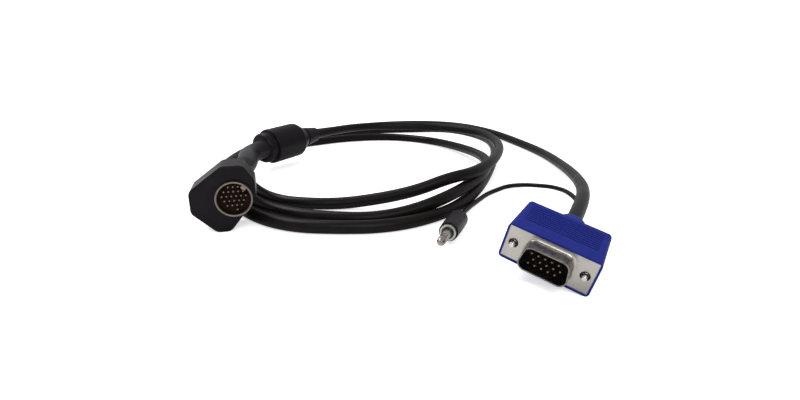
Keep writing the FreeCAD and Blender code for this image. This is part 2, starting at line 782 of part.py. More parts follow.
rear_band = start_body("jack_band_rear", jack_place)
turn(rear_band, [
    ("$jack_rod_diameter / 2 + $jack_tube_wall", "-$jack_inner_reach + 1"),
    ("$jack_stem_diameter / 2 - $jack_tube_wall / 2", "-$jack_inner_reach + 1"),
    ("$jack_stem_diameter / 2 - $jack_tube_wall / 2", sleeve_end),
    ("$jack_diameter / 2", sleeve_end),
    ("$jack_diameter / 2", ring_start),
    ("$jack_rod_diameter / 2 + $jack_tube_wall", ring_start),
])

jack_ring = start_body("jack_ring", jack_place)
turn(jack_ring, [
    ("$jack_rod_diameter / 2 + $jack_tube_wall / 2", ring_start),
    ("$jack_diameter / 2", ring_start),
    ("$jack_diameter / 2", first_band),
    ("$jack_rod_diameter / 2 + $jack_tube_wall / 2", first_band),
])

front_band = start_body("jack_band_front", jack_place)
turn(front_band, [
    ("$jack_rod_diameter / 2", "-$jack_inner_reach"),
    ("$jack_rod_diameter / 2 + $jack_tube_wall", "-$jack_inner_reach"),
    ("$jack_rod_diameter / 2 + $jack_tube_wall", ring_start),
    ("$jack_rod_diameter / 2 + $jack_tube_wall / 2", ring_start),
    ("$jack_rod_diameter / 2 + $jack_tube_wall / 2", first_band),
    ("$jack_diameter / 2", first_band),
    ("$jack_diameter / 2", first_band + " + $jack_band"),
    ("$jack_rod_diameter / 2", first_band + " + $jack_band"),
])

jack_tip = start_body("jack_tip", jack_place)
turn(jack_tip, [
    ("0", "-$jack_inner_reach"),
    ("$jack_rod_diameter / 2", "-$jack_inner_reach"),
    ("$jack_rod_diameter / 2", "$jack_length - $jack_tip_length"),
    ("$jack_diameter / 2", "$jack_length - $jack_tip_length"),
    ("$jack_diameter / 2", "$jack_length - $jack_tip_length + 0.5"),
    ("$jack_neck_diameter / 2", "$jack_length - $jack_tip_length * 0.6"),
    ("$jack_diameter / 2 * 0.92", "$jack_length - $jack_tip_length * 0.36"),
    ("$jack_diameter / 2 * 0.55", "$jack_length - $jack_tip_length * 0.06"),
    ("0", "$jack_length"),
])

# Cord routes, from one connector to the other, on the table and over one another


def local_to_table(place, x, y, z):
    return place.multVec(Vector(x, y, z)) + ORIGIN


def tube(name, spots, diameter):
    spots = [Vector(p) - ORIGIN for p in spots]
    edges = []
    here = spots[0]
    radii = []
    length = 0.0
    for i in range(1, len(spots) - 1):
        back = spots[i - 1] - spots[i]
        on = spots[i + 1] - spots[i]
        reach = 0.45 * min(back.Length, on.Length)
        back.normalize()
        on.normalize()
        turned = math.pi - back.getAngle(on)
        radius = reach / math.tan(turned / 2)
        begin = spots[i] + back * reach
        end = spots[i] + on * reach
        middle = (back + on).normalize()
        mid = spots[i] + middle * (radius / math.cos(turned / 2) - radius)
        edges.append(Part.LineSegment(here, begin).toShape())
        edges.append(Part.Arc(begin, mid, end).toShape())
        length += (begin - here).Length + radius * turned
        here = end
        radii.append(radius)
    edges.append(Part.LineSegment(here, spots[-1]).toShape())
    length += (spots[-1] - here).Length
    path = Part.Wire(edges)
    ring = Part.makeCircle(diameter / 2, spots[0], spots[1] - spots[0])
    solid = path.makePipeShell([Part.Wire(ring)], True, False)
    node = doc.addObject("Part::Feature", name)
    node.Label = name
    node.Shape = solid
    node.Placement = Placement()
    NODES.append(node)
    section = math.pi * diameter * diameter / 4
    print(name, "length", round(length, 1), "smallest radius", round(min(radii), 1))
    print(name, "volume", round(solid.Volume, 1), "section times length", round(section * length, 1))
    return node


cable_end = -size("insulator_back") - size("core_block_length")
along = ferrite_axis * size("ferrite_lead_in")
main_route = [
    local_to_table(plug_place, 0, size("neck_rise"), -size("plug_cable_end")),
    local_to_table(plug_place, 0, size("neck_rise"), -size("plug_bend")),
    FERRITE_LEFT - along,
    FERRITE_RIGHT + along,
    (-27.0, 390.0, 16.00),
    (6.5, 392.3, 15.20),
    (30.0, 388.5, 15.40),
    (50.2, 375.1, 15.70),
    (63.6, 352.5, 15.70),
    (66.8, 313.1, 15.60),
    (54.8, 270.9, 15.60),
    (39.9, 241.5, 15.90),
    (24.3, 231.5, 15.90),
    (8.0, 228.5, 11.40),
    (-10.0, 230.5, 5.60),
    (-28.4, 231.5, 3.05),
    (-43.5, 230.5, 3.05),
    (-61.6, 234.6, 3.05),
    (-78.3, 249.7, 3.05),
    (-94.8, 281.1, 3.05),
    (-103.2, 314.8, 3.05),
    (-103.6, 346.2, 3.05),
    (-93.2, 370.7, 3.05),
    (-71.6, 386.1, 3.05),
    (-46.4, 401.4, 3.05),
    (-8.6, 407.3, 3.05),
    (24.9, 394.2, 3.05),
    (46.7, 356.0, 5.00),
    (55.3, 305.7, 9.30),
    (52.2, 275.5, 9.40),
    (37.8, 242.7, 9.50),
    (21.0, 222.5, 8.90),
    (2.8, 213.4, 4.50),
    (-13.8, 207.6, 3.05),
    (-32.5, 209.6, 3.05),
    (-50.7, 212.4, 3.05),
    (-70.4, 225.7, 3.05),
    (-86.0, 246.0, 3.05),
    (-102.4, 280.0, 3.05),
    (-109.6, 314.0, 3.05),
    (-109.6, 349.0, 3.05),
    (-99.6, 379.0, 3.05),
    (-80.0, 401.0, 3.05),
    (-56.0, 424.0, 3.05),
    (-26.6, 454.3, 3.05),
    (9.6, 461.3, 3.05),
    (47.1, 450.9, 3.05),
    (74.3, 411.6, 3.05),
    (73.3, 358.6, 3.05),
    (58.4, 301.0, 3.05),
    (44.7, 257.4, 3.05),
    (28.6, 222.3, 3.05),
    (10.2, 204.0, 3.05),
    (-8.3, 195.5, 3.05),
    (-28.0, 193.1, 3.05),
    (-47.7, 194.3, 3.05),
    (-65.8, 206.4, 3.05),
    (-82.2, 227.4, 3.05),
    (-97.0, 250.0, 3.05),
    (-109.4, 281.0, 3.05),
    (-116.4, 314.0, 3.05),
    (-116.0, 349.0, 3.05),
    (-108.6, 384.0, 3.05),
    (-93.0, 418.0, 3.05),
    (-67.0, 444.0, 3.05),
    (-27.6, 472.1, 3.05),
    (19.8, 475.9, 3.05),
    (55.6, 458.9, 3.05),
    (79.8, 422.8, 3.05),
    (97.1, 384.0, 3.05),
    (105.4, 342.4, 3.30),
    (104.5, 293.8, 5.00),
    (97.7, 254.3, 8.50),
    (87.0, 216.6, 13.00),
    local_to_table(vga_place, size("cable_shift"), size("cable_rise"), -42.0),
    local_to_table(vga_place, size("cable_shift"), size("cable_rise"), cable_end),
]
lead_route = [
    local_to_table(vga_place, 0, -size("lead_drop"), cable_end),
    local_to_table(vga_place, 0, -size("lead_drop"), -46.0),
    (84.5, 209.5, 7.30),
    (87.0, 236.4, 6.50),
    (83.7, 250.4, 4.90),
    (80.5, 258.5, 3.30),
    (71.7, 266.0, 1.90),
    (61.7, 265.3, 1.30),
    (54.0, 257.2, 1.30),
    (47.3, 249.7, 1.30),
    (41.6, 239.5, 1.50),
    local_to_table(jack_place, 0, 0, -40.5),
    local_to_table(jack_place, 0, 0, -size("grip_length") + size("grip_back_wall")),
]
main_cable = tube("main_cable", main_route, size("cable_diameter"))
audio_lead = tube("audio_lead", lead_route, size("lead_diameter"))

doc.recompute()
for item in doc.Objects:
    if "Invalid" in item.State or "Error" in item.State:
        raise RuntimeError("%s: %s" % (item.Name, item.State))
for node in NODES:
    if node.Shape.isNull() or not node.Shape.isValid():
        raise RuntimeError("bad shape in " + node.Label)
    node.Shape.exportStep("parts/" + node.Label + ".step")
print("nodes", len(NODES))
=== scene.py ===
import math

import bmesh
import bpy
from mathutils import Matrix, Vector


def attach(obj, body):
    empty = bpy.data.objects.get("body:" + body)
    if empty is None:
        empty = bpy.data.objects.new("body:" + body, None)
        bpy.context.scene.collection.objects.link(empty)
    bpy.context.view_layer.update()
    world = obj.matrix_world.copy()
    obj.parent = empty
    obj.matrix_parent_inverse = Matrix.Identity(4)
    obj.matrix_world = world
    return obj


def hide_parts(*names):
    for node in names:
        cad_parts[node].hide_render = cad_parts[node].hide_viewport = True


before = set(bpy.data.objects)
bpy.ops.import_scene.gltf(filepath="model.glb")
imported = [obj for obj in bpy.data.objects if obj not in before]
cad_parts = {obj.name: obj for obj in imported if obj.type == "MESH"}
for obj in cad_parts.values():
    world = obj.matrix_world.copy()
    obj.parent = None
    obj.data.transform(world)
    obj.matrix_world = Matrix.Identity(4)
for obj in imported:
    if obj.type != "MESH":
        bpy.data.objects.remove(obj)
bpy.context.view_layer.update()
scene = bpy.context.scene

# Camera at the photograph's viewing angle

SENSOR_WIDTH = 36.0
LENS = 21.6
CAMERA_SPOT = (0.0111, -0.24225, 0.0785)
CAMERA_TILT = math.radians(72.1)

camera_data = bpy.data.cameras.new("camera")
camera_data.sensor_width = SENSOR_WIDTH
camera_data.lens = LENS
camera_data.clip_start = 0.01
camera_data.clip_end = 50.0
camera = bpy.data.objects.new("camera", camera_data)
scene.collection.objects.link(camera)
camera.location = CAMERA_SPOT
camera.rotation_euler = (CAMERA_TILT, 0.0, 0.0)
scene.camera = camera

# Places of the blue plug and the small plug: the middle of each front, and which way it points

VGA_OUT = Vector((-0.498593, -0.863588, -0.074979)).normalized()
VGA_UP = Vector((0.201201, -0.199429, 0.959034)).normalized()
VGA_ACROSS = VGA_UP.cross(VGA_OUT).normalized()
VGA_SPOT = Vector((0.0604, -0.09635, 0.01071))


def placed(across, up, out, spot):
    turn = Matrix((across, up, out)).transposed().to_4x4()
    return Matrix.Translation(spot) @ turn


VGA = placed(VGA_ACROSS, VGA_UP, VGA_OUT, VGA_SPOT)
JACK_OUT = Vector((-0.297903, -0.950609, 0.087156)).normalized()
JACK_ACROSS = Vector((0.0, 0.0, 1.0)).cross(JACK_OUT).normalized()
JACK_SPOT = Vector((0.0303, -0.06205, 0.006317))
JACK = placed(JACK_ACROSS, JACK_OUT.cross(JACK_ACROSS), JACK_OUT, JACK_SPOT)

# Node groups shared by the materials; the noises are given by their waves in a metre

MIX_FACTOR, MIX_FIRST, MIX_SECOND = 0, 6, 7
MIX_RESULT = 2
BEVEL_SAMPLES = 4
GRAIN_SHARE = 0.35
MOULDED_DEPTH = 0.00006
PLATED_DEPTH = 0.00003
PAINTED_SHADE_EDGE = 0.0007
DRAWING_STRETCH = (1.0, 1.0, 9.0)
FINE_GRAIN, MOTTLE, SMEARS = 4200.0, 160.0, 38.0
DRAWING_LINES, STAINS, SHADE_STREAKS = 900.0, 210.0, 320.0


def group(name, ins, outs):
    tree = bpy.data.node_groups.new(name, "ShaderNodeTree")
    for label, kind, value in ins:
        socket = tree.interface.new_socket(label, in_out="INPUT", socket_type=kind)
        socket.default_value = value
    for label, kind in outs:
        tree.interface.new_socket(label, in_out="OUTPUT", socket_type=kind)
    return tree, tree.nodes.new("NodeGroupInput"), tree.nodes.new("NodeGroupOutput")


def noise(tree, vector, grain_scale, per_metre, detail, roughness=0.55):
    node = tree.nodes.new("ShaderNodeTexNoise")
    node.inputs["Detail"].default_value = detail
    node.inputs["Roughness"].default_value = roughness
    tree.links.new(vector, node.inputs["Vector"])
    times = tree.nodes.new("ShaderNodeMath")
    times.operation = "MULTIPLY"
    times.inputs[1].default_value = per_metre
    tree.links.new(grain_scale, times.inputs[0])
    tree.links.new(times.outputs[0], node.inputs["Scale"])
    return node.outputs["Fac"]


def mixed(tree, factor, first, second):
    mix = tree.nodes.new("ShaderNodeMix")
    mix.data_type = "RGBA"
    tree.links.new(factor, mix.inputs[MIX_FACTOR])
    tree.links.new(first, mix.inputs[MIX_FIRST])
    tree.links.new(second, mix.inputs[MIX_SECOND])
    return mix.outputs[MIX_RESULT]


def rounded_bump(tree, given, height, distance):
    soft = tree.nodes.new("ShaderNodeBevel")
    soft.samples = BEVEL_SAMPLES
    tree.links.new(given.outputs["Edge Radius"], soft.inputs["Radius"])
    bump = tree.nodes.new("ShaderNodeBump")
    bump.inputs["Distance"].default_value = distance
    tree.links.new(given.outputs["Grain Depth"], bump.inputs["Strength"])
    tree.links.new(height, bump.inputs["Height"])
    tree.links.new(soft.outputs["Normal"], bump.inputs["Normal"])
    return bump.outputs["Normal"]


def spread(tree, value, low, high, to_low, to_high):
    node = tree.nodes.new("ShaderNodeMapRange")
    node.inputs["From Min"].default_value = low
    node.inputs["From Max"].default_value = high
    tree.links.new(value, node.inputs["Value"])
    for socket, given in (("To Min", to_low), ("To Max", to_high)):
        if isinstance(given, float):
            node.inputs[socket].default_value = given
        else:
            tree.links.new(given, node.inputs[socket])
    return node.outputs["Result"]


# Moulded plastic and rubber: mottled colour, fine grain and smeared gloss


def moulded_group():
    tree, given, out = group("moulded_surface", [
        ("Colour", "NodeSocketColor", (0.02, 0.02, 0.02, 1)),
        ("Worn Colour", "NodeSocketColor", (0.04, 0.04, 0.04, 1)),
        ("Grain Scale", "NodeSocketFloat", 1.0),
        ("Grain Depth", "NodeSocketFloat", 0.1),
        ("Smooth", "NodeSocketFloat", 0.3),
        ("Rough", "NodeSocketFloat", 0.45),
        ("Edge Radius", "NodeSocketFloat", 0.0002),
    ], [("Colour", "NodeSocketColor"), ("Roughness", "NodeSocketFloat"), ("Normal", "NodeSocketVector")])
    coords = tree.nodes.new("ShaderNodeTexCoord").outputs["Object"]
    scale = given.outputs["Grain Scale"]
    grain = noise(tree, coords, scale, FINE_GRAIN, 3.0)
    mottle = noise(tree, coords, scale, MOTTLE, 5.0, 0.65)
    smears = noise(tree, coords, scale, SMEARS, 3.0, 0.5)
    wear = spread(tree, mottle, 0.42, 0.78, 0.0, 1.0)
    tree.links.new(mixed(tree, wear, given.outputs["Colour"], given.outputs["Worn Colour"]), out.inputs["Colour"])
    blend = tree.nodes.new("ShaderNodeMath")
    blend.operation = "MULTIPLY_ADD"
    blend.inputs[1].default_value = GRAIN_SHARE
    tree.links.new(grain, blend.inputs[0])
    tree.links.new(smears, blend.inputs[2])
    rough = spread(tree, blend.outputs[0], 0.45, 0.9, given.outputs["Smooth"], given.outputs["Rough"])
    tree.links.new(rough, out.inputs["Roughness"])
    tree.links.new(rounded_bump(tree, given, grain, MOULDED_DEPTH), out.inputs["Normal"])
    return tree


# Plated metal: tarnish, drawing lines, and a painted dark reflection and shade, broken up by streaks, on the part
# past a plane across the given axis


def plated_group():
    tree, given, out = group("plated_surface", [
        ("Colour", "NodeSocketColor", (0.7, 0.7, 0.7, 1)),
        ("Tarnish", "NodeSocketColor", (0.4, 0.38, 0.34, 1)),
        ("Grain Scale", "NodeSocketFloat", 1.0),
        ("Grain Depth", "NodeSocketFloat", 0.1),
        ("Smooth", "NodeSocketFloat", 0.15),
        ("Rough", "NodeSocketFloat", 0.35),
        ("Edge Radius", "NodeSocketFloat", 0.00015),
        ("Painted Shade Colour", "NodeSocketColor", (0.7, 0.7, 0.7, 1)),
        ("Painted Shade Axis", "NodeSocketVector", (0.0, 0.0, 1.0)),
        ("Painted Shade Start", "NodeSocketFloat", 10.0),
    ], [("Colour", "NodeSocketColor"), ("Roughness", "NodeSocketFloat"), ("Normal", "NodeSocketVector")])
    coords = tree.nodes.new("ShaderNodeTexCoord").outputs["Object"]
    stretch = tree.nodes.new("ShaderNodeMapping")
    stretch.inputs["Scale"].default_value = DRAWING_STRETCH
    tree.links.new(coords, stretch.inputs["Vector"])
    scale = given.outputs["Grain Scale"]
    lines = noise(tree, stretch.outputs["Vector"], scale, DRAWING_LINES, 4.0)
    stains = noise(tree, coords, scale, STAINS, 5.0, 0.6)
    stained = spread(tree, stains, 0.48, 0.8, 0.0, 0.8)
    plain = mixed(tree, stained, given.outputs["Colour"], given.outputs["Tarnish"])
    # Painted dark reflection and shade: past the plane the colour is mixed towards the darker colour, less along
    # the streaks
    reach = tree.nodes.new("ShaderNodeVectorMath")
    reach.operation = "DOT_PRODUCT"
    tree.links.new(coords, reach.inputs[0])
    tree.links.new(given.outputs["Painted Shade Axis"], reach.inputs[1])
    past = tree.nodes.new("ShaderNodeMath")
    past.operation = "SUBTRACT"
    tree.links.new(reach.outputs["Value"], past.inputs[0])
    tree.links.new(given.outputs["Painted Shade Start"], past.inputs[1])
    shade_streak = noise(tree, stretch.outputs["Vector"], scale, SHADE_STREAKS, 3.0)
    painted_shade_share = tree.nodes.new("ShaderNodeMath")
    painted_shade_share.operation = "MULTIPLY"
    tree.links.new(spread(tree, past.outputs[0], 0.0, PAINTED_SHADE_EDGE, 0.0, 1.0), painted_shade_share.inputs[0])
    tree.links.new(spread(tree, shade_streak, 0.35, 0.65, 1.0, 0.55), painted_shade_share.inputs[1])
    with_painted_shade = mixed(tree, painted_shade_share.outputs[0], plain, given.outputs["Painted Shade Colour"])
    tree.links.new(with_painted_shade, out.inputs["Colour"])
    rough = spread(tree, stains, 0.3, 0.75, given.outputs["Smooth"], given.outputs["Rough"])
    tree.links.new(rough, out.inputs["Roughness"])
    tree.links.new(rounded_bump(tree, given, lines, PLATED_DEPTH), out.inputs["Normal"])
    return tree


MOULDED = moulded_group()
PLATED = plated_group()


def material(name, tree, values, shader):
    made = bpy.data.materials.new(name)
    made.use_nodes = True
    nodes = made.node_tree.nodes
    links = made.node_tree.links
    surface = nodes["Principled BSDF"]
    for socket, value in shader.items():
        surface.inputs[socket].default_value = value
    source = nodes.new("ShaderNodeGroup")
    source.node_tree = tree
    for socket, value in values.items():
        source.inputs[socket].default_value = value
    links.new(source.outputs["Colour"], surface.inputs["Base Color"])
    links.new(source.outputs["Roughness"], surface.inputs["Roughness"])
    links.new(source.outputs["Normal"], surface.inputs["Normal"])
    made.diffuse_color = values["Colour"]
    return made


def rgb(r, g, b):
    return (r, g, b, 1.0)


# Looks of the materials; a painted dark reflection and shade darkens the shroud from this height over the flange

SHROUD_ROOT = 0.0009

BLUE = material("blue_moulding", MOULDED, {
    "Colour": rgb(0.0105, 0.0180, 0.172), "Worn Colour": rgb(0.0140, 0.0235, 0.200), "Grain Scale": 1.0,
    "Grain Depth": 0.35, "Smooth": 0.42, "Rough": 0.58, "Edge Radius": 0.00035,
}, {"Specular IOR Level": 0.05})
JACKET = material("cable_jacket", MOULDED, {
    "Colour": rgb(0.0056, 0.0037, 0.0040), "Worn Colour": rgb(0.0095, 0.0068, 0.0072), "Grain Scale": 0.8,
    "Grain Depth": 0.22, "Smooth": 0.30, "Rough": 0.46, "Edge Radius": 0.0001,
}, {"Specular IOR Level": 0.09})
LEAD_JACKET = material("lead_jacket", MOULDED, {
    "Colour": rgb(0.0042, 0.0030, 0.0032), "Worn Colour": rgb(0.0070, 0.0052, 0.0056), "Grain Scale": 1.3,
    "Grain Depth": 0.18, "Smooth": 0.30, "Rough": 0.46, "Edge Radius": 0.0001,
}, {"Specular IOR Level": 0.10})
MOULDING = material("black_moulding", MOULDED, {
    "Colour": rgb(0.0049, 0.0032, 0.0052), "Worn Colour": rgb(0.0084, 0.0060, 0.0082), "Grain Scale": 0.9,
    "Grain Depth": 0.45, "Smooth": 0.30, "Rough": 0.50, "Edge Radius": 0.0007,
}, {"Specular IOR Level": 0.11})
INSULATOR = material("black_insulator", MOULDED, {
    "Colour": rgb(0.0028, 0.0018, 0.0022), "Worn Colour": rgb(0.0045, 0.0032, 0.0036), "Grain Scale": 1.6,
    "Grain Depth": 0.15, "Smooth": 0.40, "Rough": 0.55, "Edge Radius": 0.0001,
}, {"Specular IOR Level": 0.08})
DISC = material("round_plug_insulator", MOULDED, {
    "Colour": rgb(0.0130, 0.0052, 0.0032), "Worn Colour": rgb(0.0160, 0.0070, 0.0044), "Grain Scale": 1.6,
    "Grain Depth": 0.15, "Smooth": 0.40, "Rough": 0.55, "Edge Radius": 0.0001,
}, {"Specular IOR Level": 0.08})
BANDS = material("jack_bands", MOULDED, {
    "Colour": rgb(0.0090, 0.0090, 0.0095), "Worn Colour": rgb(0.0140, 0.0140, 0.0145), "Grain Scale": 2.0,
    "Grain Depth": 0.05, "Smooth": 0.18, "Rough": 0.3, "Edge Radius": 0.00005,
}, {"Specular IOR Level": 0.5})
CORE = material("inner_plastic", MOULDED, {
    "Colour": rgb(0.55, 0.53, 0.48), "Worn Colour": rgb(0.62, 0.60, 0.56), "Grain Scale": 1.0,
    "Grain Depth": 0.3, "Smooth": 0.4, "Rough": 0.55, "Edge Radius": 0.0002,
}, {"Specular IOR Level": 0.4})
SINTER = material("sintered_ferrite", MOULDED, {
    "Colour": rgb(0.045, 0.045, 0.050), "Worn Colour": rgb(0.075, 0.075, 0.080), "Grain Scale": 1.2,
    "Grain Depth": 0.9, "Smooth": 0.45, "Rough": 0.65, "Edge Radius": 0.0003,
}, {"Specular IOR Level": 0.5})
NICKEL = material("nickel_shell", PLATED, {
    "Colour": rgb(0.450, 0.430, 0.395), "Tarnish": rgb(0.330, 0.305, 0.270), "Grain Scale": 1.0,
    "Grain Depth": 0.35, "Smooth": 0.24, "Rough": 0.44, "Edge Radius": 0.00025,
}, {"Metallic": 1.0})
# The darker colour on the shroud is a painted dark reflection and shade over the same plated colour as the flange
SHELL = material("shell_painted_shade", PLATED, {
    "Colour": rgb(0.450, 0.430, 0.395), "Tarnish": rgb(0.330, 0.305, 0.270), "Grain Scale": 1.0,
    "Grain Depth": 0.35, "Smooth": 0.24, "Rough": 0.44, "Edge Radius": 0.00025,
    "Painted Shade Colour": rgb(0.120, 0.112, 0.118), "Painted Shade Axis": VGA_OUT,
    "Painted Shade Start": VGA_OUT.dot(VGA_SPOT) + SHROUD_ROOT,
}, {"Metallic": 1.0})
SCREW = material("screw_steel", PLATED, {
    "Colour": rgb(0.62, 0.60, 0.57), "Tarnish": rgb(0.40, 0.38, 0.35), "Grain Scale": 1.6,
    "Grain Depth": 0.3, "Smooth": 0.16, "Rough": 0.36, "Edge Radius": 0.00012,
}, {"Metallic": 1.0})
PIN = material("jack_nickel", PLATED, {
    "Colour": rgb(0.330, 0.300, 0.270), "Tarnish": rgb(0.140, 0.115, 0.095), "Grain Scale": 1.5,
    "Grain Depth": 0.12, "Smooth": 0.14, "Rough": 0.34, "Edge Radius": 0.0001,
}, {"Metallic": 1.0})
GOLD = material("contact_plating", PLATED, {
    "Colour": rgb(0.190, 0.135, 0.078), "Tarnish": rgb(0.120, 0.082, 0.046), "Grain Scale": 2.0,
    "Grain Depth": 0.1, "Smooth": 0.34, "Rough": 0.56, "Edge Radius": 0.0001,
}, {"Metallic": 1.0})
PALE = material("round_plug_contacts", PLATED, {
    "Colour": rgb(0.190, 0.138, 0.104), "Tarnish": rgb(0.115, 0.078, 0.056), "Grain Scale": 2.0,
    "Grain Depth": 0.1, "Smooth": 0.30, "Rough": 0.50, "Edge Radius": 0.0001,
}, {"Metallic": 1.0})
RING = material("round_plug_ring", PLATED, {
    "Colour": rgb(0.230, 0.185, 0.165), "Tarnish": rgb(0.135, 0.100, 0.088), "Grain Scale": 1.4,
    "Grain Depth": 0.25, "Smooth": 0.22, "Rough": 0.42, "Edge Radius": 0.0002,
}, {"Metallic": 1.0})

# Look of every CAD piece

VGA_CONTACTS = 15
PLUG_ROWS = 6

LOOKS = {
    "vga_hood": BLUE, "vga_front_shell": SHELL, "vga_rear_shell": NICKEL, "vga_insulator": INSULATOR,
    "vga_core_block": CORE, "vga_screw_left": SCREW, "vga_screw_right": SCREW,
    "plug_body": MOULDING, "plug_core": CORE, "plug_ring": RING, "plug_disc": DISC,
    "ferrite_cover": MOULDING, "ferrite_core": SINTER,
    "jack_grip": MOULDING, "jack_core": CORE, "jack_sleeve": NICKEL, "jack_ring": PIN, "jack_tip": PIN,
    "jack_band_rear": BANDS, "jack_band_front": BANDS,
}
for number in range(1, VGA_CONTACTS + 1):
    LOOKS["vga_pin_%d" % number] = GOLD
for number in range(1, PLUG_ROWS + 1):
    LOOKS["plug_pins_row_%d" % number] = PALE
for name, look in LOOKS.items():
    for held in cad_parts[name].material_slots:
        held.material = look

# Cords, each one smooth spline along its route

CORD_RESOLUTION = 10
MEASURE_RESOLUTION = 24
MAIN_ROUTE = [
    (-0.06291, -0.03623, 0.01900),
    (-0.07004, -0.01019, 0.01900),
    (-0.06895, 0.00402, 0.01900),
    (-0.08359, 0.05241, 0.01474),
    (-0.04569, 0.11029, 0.01750),
    (-0.01590, 0.14775, 0.01600),
    (0.01760, 0.15005, 0.01520),
    (0.04110, 0.14625, 0.01540),
    (0.06130, 0.13285, 0.01570),
    (0.07470, 0.11025, 0.01570),
    (0.07790, 0.07085, 0.01560),
    (0.06590, 0.02865, 0.01560),
    (0.05100, -0.00075, 0.01590),
    (0.03540, -0.01105, 0.01530),
    (0.01910, -0.01475, 0.00980),
    (0.00110, -0.01425, 0.00560),
    (-0.01730, -0.01425, 0.00305),
    (-0.03240, -0.01475, 0.00305),
    (-0.05050, -0.01025, 0.00305),
    (-0.06720, 0.00745, 0.00305),
    (-0.08370, 0.03885, 0.00305),
    (-0.09210, 0.07255, 0.00305),
    (-0.09250, 0.10395, 0.00305),
    (-0.08210, 0.12845, 0.00305),
    (-0.06050, 0.14385, 0.00305),
    (-0.03530, 0.16300, 0.00305),
    (0.00250, 0.17100, 0.00305),
    (0.03600, 0.15400, 0.00305),
    (0.05780, 0.11375, 0.00500),
    (0.06640, 0.06345, 0.00930),
    (0.06330, 0.03325, 0.00940),
    (0.04890, 0.00045, 0.00950),
    (0.03240, -0.02525, 0.00920),
    (0.01510, -0.03265, 0.00490),
    (-0.00270, -0.03675, 0.00305),
    (-0.02140, -0.03465, 0.00305),
    (-0.03960, -0.03005, 0.00305),
    (-0.05930, -0.01655, 0.00305),
    (-0.07490, 0.00375, 0.00305),
    (-0.09130, 0.03775, 0.00305),
    (-0.09850, 0.07175, 0.00305),
    (-0.09850, 0.10675, 0.00305),
    (-0.08850, 0.13675, 0.00305),
    (-0.06890, 0.15875, 0.00305),
    (-0.04350, 0.17800, 0.00305),
    (-0.01400, 0.20260, 0.00305),
    (0.02070, 0.20820, 0.00305),
    (0.05850, 0.21200, 0.00305),
    (0.08540, 0.16935, 0.00305),
    (0.08440, 0.11635, 0.00305),
    (0.06950, 0.05875, 0.00305),
    (0.05580, 0.01515, 0.00305),
    (0.03970, -0.01995, 0.00305),
    (0.02130, -0.03825, 0.00305),
    (0.00280, -0.04675, 0.00305),
    (-0.01690, -0.04755, 0.00305),
    (-0.03660, -0.04555, 0.00305),
    (-0.05470, -0.03455, 0.00305),
    (-0.07110, -0.01485, 0.00305),
    (-0.08590, 0.00775, 0.00305),
    (-0.09830, 0.03875, 0.00305),
    (-0.10530, 0.07175, 0.00305),
    (-0.10490, 0.10675, 0.00305),
    (-0.09750, 0.14175, 0.00305),
    (-0.08190, 0.17575, 0.00305),
    (-0.05590, 0.20175, 0.00305),
    (-0.01650, 0.23020, 0.00360),
    (0.03090, 0.23360, 0.00470),
    (0.06800, 0.22350, 0.00440),
    (0.09300, 0.18600, 0.00420),
    (0.10820, 0.14175, 0.00305),
    (0.11650, 0.10015, 0.00330),
    (0.11560, 0.05155, 0.00500),
    (0.10880, 0.01205, 0.00850),
    (0.09810, -0.02565, 0.01300),
    (0.08263, -0.06091, 0.01487),
    (0.06857, -0.08527, 0.01276),
]
LEAD_ROUTE = [
    (0.06664, -0.08379, 0.00868),
    (0.08269, -0.05599, 0.01109),
    (0.09560, -0.03275, 0.00730),
    (0.09810, -0.00585, 0.00650),
    (0.09480, 0.00815, 0.00490),
    (0.09160, 0.01625, 0.00330),
    (0.08280, 0.02375, 0.00190),
    (0.07280, 0.02305, 0.00130),
    (0.06510, 0.01495, 0.00130),
    (0.05840, 0.00745, 0.00130),
    (0.05270, -0.00275, 0.00150),
    (0.04237, -0.02355, 0.00279),
    (0.03682, -0.04123, 0.00441),
]


def route_curve(name, route, resolution):
    data = bpy.data.curves.new(name, "CURVE")
    data.dimensions = "3D"
    spline = data.splines.new("NURBS")
    spline.points.add(len(route) - 1)
    for point, spot in zip(spline.points, route):
        point.co = (*spot, 1.0)
    spline.order_u = 3
    spline.use_endpoint_u = True
    spline.resolution_u = resolution
    return data


def cord_curve(name, route, diameter, look):
    data = route_curve(name, route, CORD_RESOLUTION)
    data.bevel_depth = diameter / 2
    data.bevel_resolution = 7
    data.use_fill_caps = True
    piece = bpy.data.objects.new(name, data)
    scene.collection.objects.link(piece)
    data.materials.append(look)
    return piece


cable = cord_curve("cable", MAIN_ROUTE, diameter=0.006, look=JACKET)
lead = cord_curve("lead", LEAD_ROUTE, diameter=0.0024, look=LEAD_JACKET)
for piece, node in ((cable, "main_cable"), (lead, "audio_lead")):
    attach(piece, "cable")
    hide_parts(node)

# Captive jackscrews with a cut thread and a slotted head, each turned with its own CAD body

SCREW_OFFSET = 0.012495
THREAD_RADIUS = 0.00142
THREAD_ROOT = 0.00112
THREAD_PITCH = 0.000635
THREAD_TURNS = 7
THREAD_END = -0.0006
POINT_RADIUS = 0.00098
SCREW_REACH = 0.0023
HEAD_RADIUS = 0.0020
HEAD_LENGTH = 0.00385
HEAD_BACK = -0.0208
HEAD_FRONT = HEAD_BACK + HEAD_LENGTH
SHANK_EDGE = 0.0002
POINT_EDGE = 0.00042
HEAD_EDGE = 0.00025
SHANK_IN_HEAD = 0.0002
SHANK_IN_POINT = 0.0003
POINT_IN_THREAD = 0.001
SLOT_SIZE = (0.0062, 0.0008, 0.0024)
SINK = 0.0001
CREST_FALL = 0.06
THREAD_STEPS = 32


def start_clean():
    if bpy.context.object and bpy.context.object.mode != "OBJECT":
        bpy.ops.object.mode_set(mode="OBJECT")
    bpy.ops.object.select_all(action="DESELECT")


def apply_all(piece):
    bpy.context.view_layer.objects.active = piece
    for modifier in list(piece.modifiers):
        bpy.ops.object.modifier_apply(modifier=modifier.name)


